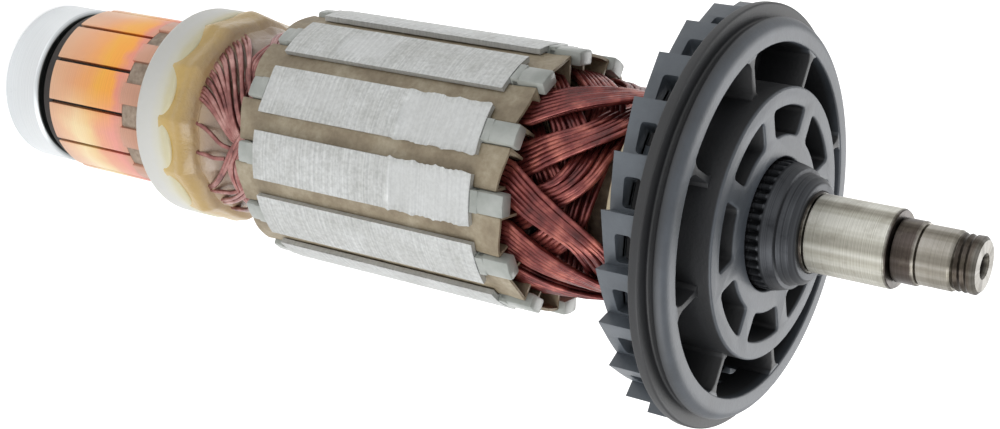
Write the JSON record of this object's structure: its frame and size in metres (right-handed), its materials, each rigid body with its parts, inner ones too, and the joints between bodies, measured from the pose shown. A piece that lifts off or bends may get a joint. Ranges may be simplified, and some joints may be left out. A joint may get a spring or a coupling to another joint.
{
  "type": "motor armature",
  "caption": "Wound motor rotor on a stepped shaft, with commutator, laminated core, cooling fan, sealed ball bearing and pinion seat.",
  "frame": {"origin": "centre of the lower face of the commutator-end bearing", "axes": "+Z along the shaft, towards the pinion end; +X through the middle of a core tooth"},
  "size_m": [0.0662, 0.0662, 0.1889],
  "materials": {
    "turned_steel": "turned and ground, lightly stained",
    "lamination_steel": "ground stack of sheets",
    "insulator": "moulded, resin coated",
    "liner_paper": "varnished slot paper",
    "enamelled_wire": "dark red enamel and varnish",
    "bar_copper": "turned copper",
    "moulding": "phenolic moulding",
    "bush_brass": "turned",
    "packing": "resin packing",
    "band": "pale bound tape under resin",
    "resin": "trickled resin",
    "washer": "pressed fibre",
    "bush_steel": "blackened",
    "fan_plastic": "moulded",
    "bearing_steel": "ground and polished",
    "cage_steel": "pressed",
    "seal_rubber": "moulded"
  },
  "bodies": {
    "rotor": {"shaft": "turned_steel", "laminated_core": "lamination_steel", "end_insulator_commutator": "insulator", "end_insulator_drive": "insulator", "slot_liner_01": "liner_paper", "slot_liner_02": "liner_paper", "slot_liner_03": "liner_paper", "slot_liner_04": "liner_paper", "slot_liner_05": "liner_paper", "slot_liner_06": "liner_paper", "slot_liner_07": "liner_paper", "slot_liner_08": "liner_paper", "slot_liner_09": "liner_paper", "slot_liner_10": "liner_paper", "slot_liner_11": "liner_paper", "slot_liner_12": "liner_paper", "coil_01": "enamelled_wire", "coil_02": "enamelled_wire", "coil_03": "enamelled_wire", "coil_04": "enamelled_wire", "coil_05": "enamelled_wire", "coil_06": "enamelled_wire", "coil_07": "enamelled_wire", "coil_08": "enamelled_wire", "coil_09": "enamelled_wire", "coil_10": "enamelled_wire", "coil_11": "enamelled_wire", "coil_12": "enamelled_wire", "commutator_bar_01": "bar_copper", "commutator_bar_02": "bar_copper", "commutator_bar_03": "bar_copper", "commutator_bar_04": "bar_copper", "commutator_bar_05": "bar_copper", "commutator_bar_06": "bar_copper", "commutator_bar_07": "bar_copper", "commutator_bar_08": "bar_copper", "commutator_bar_09": "bar_copper", "commutator_bar_10": "bar_copper", "commutator_bar_11": "bar_copper", "commutator_bar_12": "bar_copper", "commutator_body": "moulding", "commutator_bush": "bush_brass", "tang_packing": "packing", "lead_band": "band", "lead_resin": "resin", "shaft_sleeve": "packing", "end_washer": "washer", "fan_bush": "bush_steel", "fan_wheel": "fan_plastic", "bearing_inner_ring": "bearing_steel"},
    "bearing_outer": {"bearing_outer_ring": "bearing_steel", "bearing_seal_lower": "seal_rubber", "bearing_seal_upper": "seal_rubber"},
    "ball_cage": {"bearing_balls": "bearing_steel", "bearing_cage": "cage_steel"}
  },
  "joints": [
    {"name": "outer_spin", "type": "hinge", "parent": "rotor", "child": "bearing_outer", "pos_m": [0, 0, 0.0045], "axis": [0, 0, 1], "continuous": true},
    {"name": "cage_spin", "type": "hinge", "parent": "rotor", "child": "ball_cage", "pos_m": [0, 0, 0.0045], "axis": [0, 0, 1], "continuous": true}
  ],
  "couplings": [
    {"joint": "cage_spin", "follows": "outer_spin", "ratio": 0.619}
  ]
}
